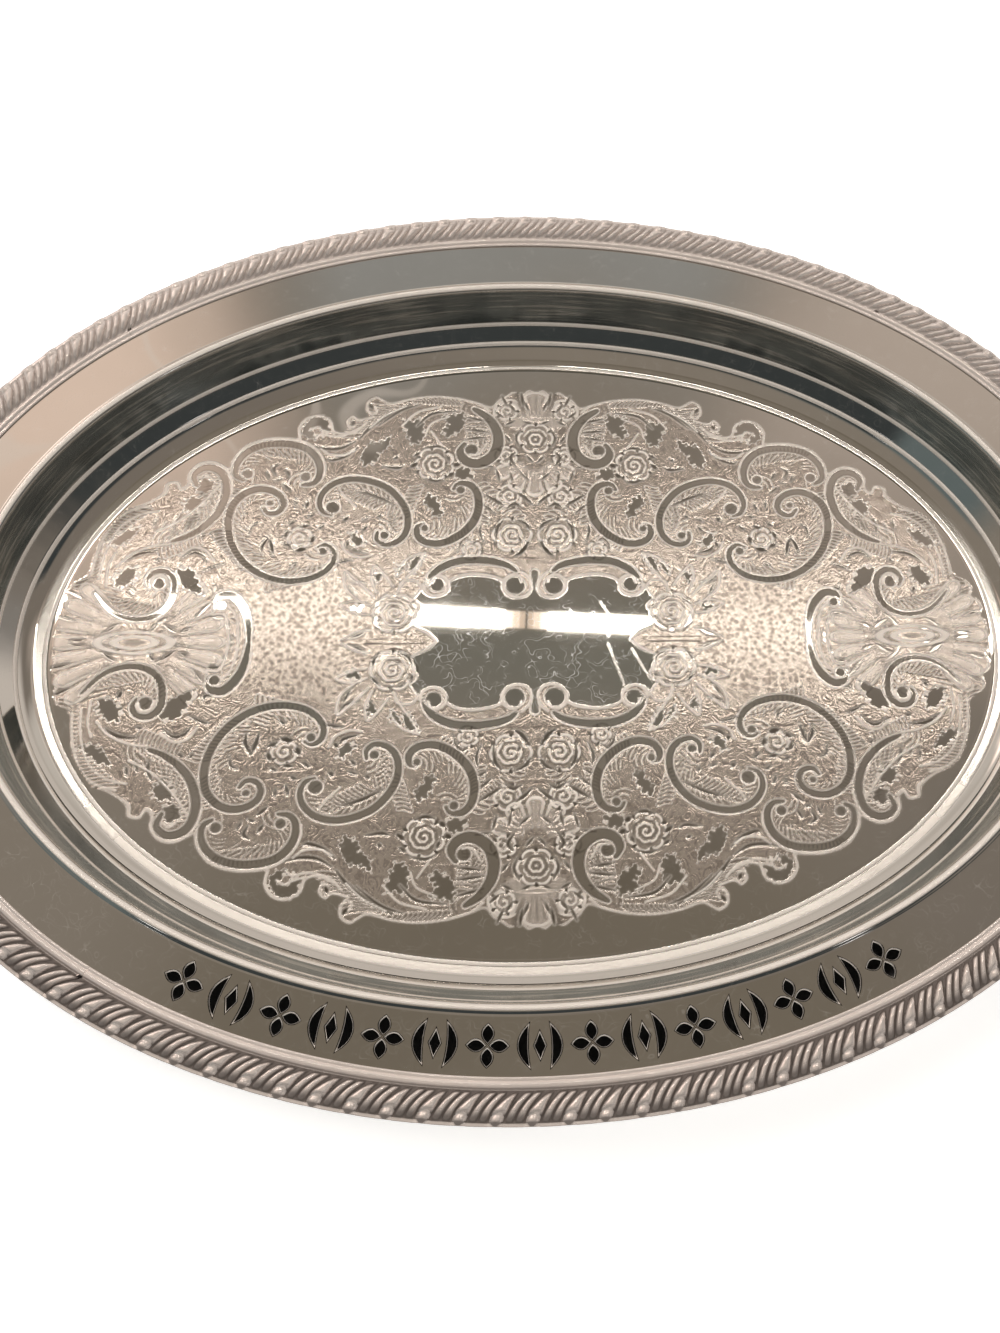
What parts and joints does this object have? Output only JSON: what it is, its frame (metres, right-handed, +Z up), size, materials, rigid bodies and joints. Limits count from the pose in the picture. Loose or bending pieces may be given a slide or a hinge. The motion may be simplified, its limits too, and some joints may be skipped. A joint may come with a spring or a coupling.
{
  "type": "oval serving tray",
  "caption": "Oval dished serving tray with a steep wall, a wide flange pierced along its front arc, and a slanting gadroon border round the edge.",
  "frame": {"origin": "centre of the tray's flat base, on the surface that it rests on", "axes": "+X along the tray's length, +Y away from the pierced front arc of the flange, +Z up"},
  "size_m": [0.4046, 0.3098, 0.0277],
  "materials": {
    "plated_sheet": "polished silver plate, with a matted engraved floor",
    "struck_border": "silver plate on a die-struck mount, darker in the recesses"
  },
  "bodies": {
    "root": {"tray_body": "plated_sheet", "border_right": "struck_border", "border_back": "struck_border", "border_left": "struck_border", "border_front": "struck_border"}
  },
  "joints": []
}
